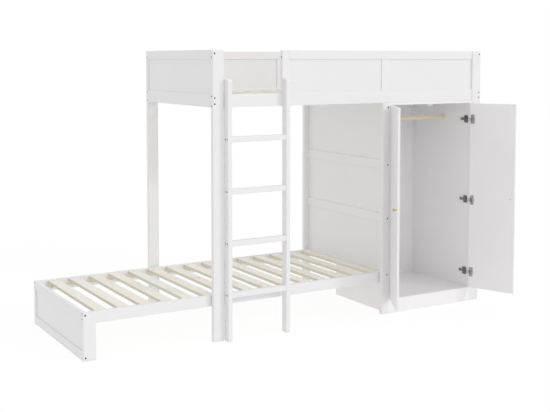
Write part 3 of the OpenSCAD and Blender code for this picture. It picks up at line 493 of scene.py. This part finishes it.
finish_node(
    painted_wood("paint_on_uprights", "z"),
    "loft_post_front_left",
    "loft_post_front_right",
    "loft_post_back_left",
    "loft_post_back_right",
    "front_guard_stiles",
    "back_guard_stile",
    "footboard_leg_front",
    "footboard_leg_back",
    "frame_post_front",
    "frame_post_back",
    "ladder_stile_left",
    "ladder_stile_right",
)
finish_node(
    painted_wood("paint_on_long_rails", "x"),
    "front_side_rail",
    "back_side_rail",
    "front_guard_top_rail",
    "back_guard_top_rail",
    "lower_side_rail_front",
    "lower_side_rail_back",
)
finish_node(
    painted_wood("paint_on_end_rails", "y"),
    "left_end_top_rail",
    "left_end_bottom_rail",
    "right_end_top_rail",
    "right_end_bottom_rail",
    "footboard_top_rail",
    "footboard_bottom_rail",
    "frame_rails",
)
finish_node(painted_wood("paint_on_rungs", "x", scuffed=True), "ladder_rungs")
finish_node(
    painted_board("paint_on_panels", PANEL, PANEL_WARM, peel_waves=700.0),
    "left_end_panel",
    "right_end_panel",
    "front_guard_panels",
    "back_guard_panels",
    "footboard_panel",
    "frame_panels",
)
finish_node(
    painted_board("lacquer_on_wardrobe", BOARD, BOARD_SMUDGE),
    "wardrobe_side_left",
    "wardrobe_side_right",
    "wardrobe_top",
    "wardrobe_floor",
    "wardrobe_plinth",
)
finish_node(painted_board("lacquer_on_left_door", BOARD, BOARD_SMUDGE, LEFT_OPEN), "left_door")
finish_node(painted_board("lacquer_on_right_door", BOARD, BOARD_SMUDGE, -RIGHT_OPEN), "right_door")
finish_node(
    painted_board("foil_on_back", FOIL, BOARD_SMUDGE, peel_waves=1100.0), "wardrobe_back"
)


def slat_material(name, node):
    """Pine for the slats of one bed, which lie side by side along X."""
    low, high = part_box(node)
    pitch = (high[0] - low[0] - SLAT_W) / (SLAT_COUNT - 1)
    return pine(name, "y", low[0], pitch, low[2])


def ledger_material(name, node):
    """Pine for the front and back ledgers of one bed, each in its own half of the bed."""
    low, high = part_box(node)
    return pine(name, "x", low[1], (high[1] - low[1]) / 2, low[2])


for bed in ("loft", "lower"):
    slats = f"{bed}_slats"
    ledgers = f"{bed}_ledgers"
    finish_node(slat_material(f"pine_of_{slats}", slats), slats)
    finish_node(ledger_material(f"pine_of_{ledgers}", ledgers), ledgers)

rod_low, rod_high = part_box("hanging_rod")
rod_axis_y, rod_axis_z = ((rod_low[i] + rod_high[i]) / 2 for i in (1, 2))
finish_node(rod_wood("wood_of_rod", rod_axis_y, rod_axis_z), "hanging_rod")
finish_node(plastic("moulded_plastic", PLASTIC, PLASTIC_CLOUD), "rod_sockets", "door_catch")
for side, angle in (("left", LEFT_OPEN), ("right", -RIGHT_OPEN)):
    finish_node(
        metal(f"brass_of_{side}_knob", BRASS, BRASS_WORN, rough=0.3, coat=0.3, zinc_behind=angle),
        f"{side}_door_knob",
    )
finish_node(
    metal("white_lacquered_strikes", STRIKE_WHITE, STRIKE_WORN, rough=0.4, metallic=0.0),
    "left_door_strike",
    "right_door_strike",
)
finish_node(metal("zinc_plate", ZINC, ZINC_WORN, rough=0.36), "barrel_nuts", "slat_screws")
finish_node(
    metal("steel_of_hinge_cups", CUP_STEEL, CUP_WORN, rough=0.36, marks=CUP_MARKS),
    "left_hinge_cups",
    "right_hinge_cups",
)
finish_node(
    metal("steel_of_hinge_arms", ARM_STEEL, ARM_WORN, rough=0.32, marks=ARM_MARKS),
    "left_hinge_arms",
    "right_hinge_arms",
    "left_hinge_links",
    "right_hinge_links",
)
finish_node(
    metal("black_oxide_bolts", BLACK_OXIDE, BLACK_WORN, rough=0.42, metallic=0.7),
    "connector_bolts",
)

# ---- Floor ----

# Half the floor's side in metres, then the strength or colour of each way it shows or lights
FLOOR_HALF = 30.0
FLOOR_GLOW = 0.87
FLOOR_SHADE = srgb(110, 110, 110)
FLOOR_FILL = 0.78


def seen_ray(net):
    """1 for rays that show the background: straight from the camera, mirrored or through glass."""
    path = net.add("ShaderNodeLightPath")
    value = path.outputs["Is Camera Ray"]
    for name in ("Is Glossy Ray", "Is Transmission Ray"):
        value = net.math("MAXIMUM", value, path.outputs[name])
    return value


corners = [(x * FLOOR_HALF, y * FLOOR_HALF, 0) for x, y in ((-1, -1), (1, -1), (1, 1), (-1, 1))]
floor_mesh = bpy.data.meshes.new("studio_floor")
floor_mesh.from_pydata(corners, [], [(0, 1, 2, 3)])
floor = bpy.data.objects.new("studio_floor", floor_mesh)
bpy.context.scene.collection.objects.link(floor)

# The floor shows as a glow with the object's shadow on it, and lights the object as a plain fill
floor_material = bpy.data.materials.new("studio_floor")
floor_material.use_nodes = True
floor_net = Net(floor_material.node_tree)
glow = floor_net.add("ShaderNodeEmission", {"Strength": FLOOR_GLOW})
shade = floor_net.add("ShaderNodeBsdfDiffuse", {"Color": FLOOR_SHADE})
both = floor_net.add("ShaderNodeAddShader", {0: glow.outputs[0], 1: shade.outputs[0]})
fill = floor_net.add("ShaderNodeEmission", {"Strength": FLOOR_FILL})
floor_look = floor_net.add(
    "ShaderNodeMixShader", {0: seen_ray(floor_net), 1: fill.outputs[0], 2: both.outputs[0]}
)
floor_net.add("ShaderNodeOutputMaterial", {"Surface": floor_look.outputs[0]})
floor_mesh.materials.append(floor_material)

# ---- Light: a soft sky, brighter in a wide window before the object, and one soft key light ----

# The window adds its strength to the sky's. Its edge and core are cosines of the angle from the
# direction that it lies in.
SKY_TOP = 0.96
SKY_SIDE = 0.955
WINDOW = 0.48
WINDOW_TOWARDS = (0.12, -0.93, 0.34)
WINDOW_EDGE = 0.72
WINDOW_CORE = 0.95

# Angles in degrees
KEY_ELEVATION = 24.5
KEY_RIGHT_OF_FRONT = 33.1
KEY_STRENGTH = 0.37
KEY_SOFTNESS = 9.0

world = bpy.data.worlds.new("studio")
bpy.context.scene.world = world
world.use_nodes = True
sky_net = Net(world.node_tree)
direction = sky_net.add("ShaderNodeTexCoord").outputs["Generated"]
level = sky_net.add(
    "ShaderNodeMapRange",
    {"Value": sky_net.split(direction)[2], "To Min": SKY_SIDE, "To Max": SKY_TOP},
)
facing = sky_net.add(
    "ShaderNodeVectorMath", {0: direction, 1: WINDOW_TOWARDS}, operation="DOT_PRODUCT"
)
window = sky_net.ramp(facing.outputs["Value"], WINDOW_EDGE, WINDOW_CORE, out_high=WINDOW)
strength = sky_net.math("ADD", level.outputs[0], window)
soft = sky_net.add("ShaderNodeBackground", {"Strength": strength})
white = sky_net.add("ShaderNodeBackground", {"Strength": 1.0, "Color": (1, 1, 1, 1)})
sky_look = sky_net.add(
    "ShaderNodeMixShader", {0: seen_ray(sky_net), 1: soft.outputs[0], 2: white.outputs[0]}
)
sky_net.add("ShaderNodeOutputWorld", {"Surface": sky_look.outputs[0]})

key = bpy.data.lights.new("key_light", "SUN")
key.energy = KEY_STRENGTH
key.angle = math.radians(KEY_SOFTNESS)
key_object = bpy.data.objects.new("key_light", key)
key_object.rotation_euler = Euler(
    (math.radians(90 - KEY_ELEVATION), 0, math.radians(KEY_RIGHT_OF_FRONT))
)
bpy.context.scene.collection.objects.link(key_object)

# ---- Camera, at the photograph's place and angle ----

# Metres for the place, degrees for the angles, millimetres for the lens and the sensor
CAMERA_PLACE = (-2.6158, -5.0919, 1.6795)
CAMERA_DOWN = 3.742
CAMERA_TO_RIGHT = 30.599
CAMERA_LENS = 63.465
CAMERA_SENSOR = 36
CAMERA_SHIFT = -0.15

camera = bpy.data.cameras.new("photo_camera")
camera.sensor_width = CAMERA_SENSOR
camera.lens = CAMERA_LENS
camera.shift_y = CAMERA_SHIFT
camera_object = bpy.data.objects.new("photo_camera", camera)
camera_object.location = CAMERA_PLACE
camera_object.rotation_euler = Euler(
    (math.radians(90 - CAMERA_DOWN), 0, math.radians(-CAMERA_TO_RIGHT))
)
bpy.context.scene.collection.objects.link(camera_object)
bpy.context.scene.camera = camera_object
bpy.context.scene.view_settings.view_transform = "Standard"
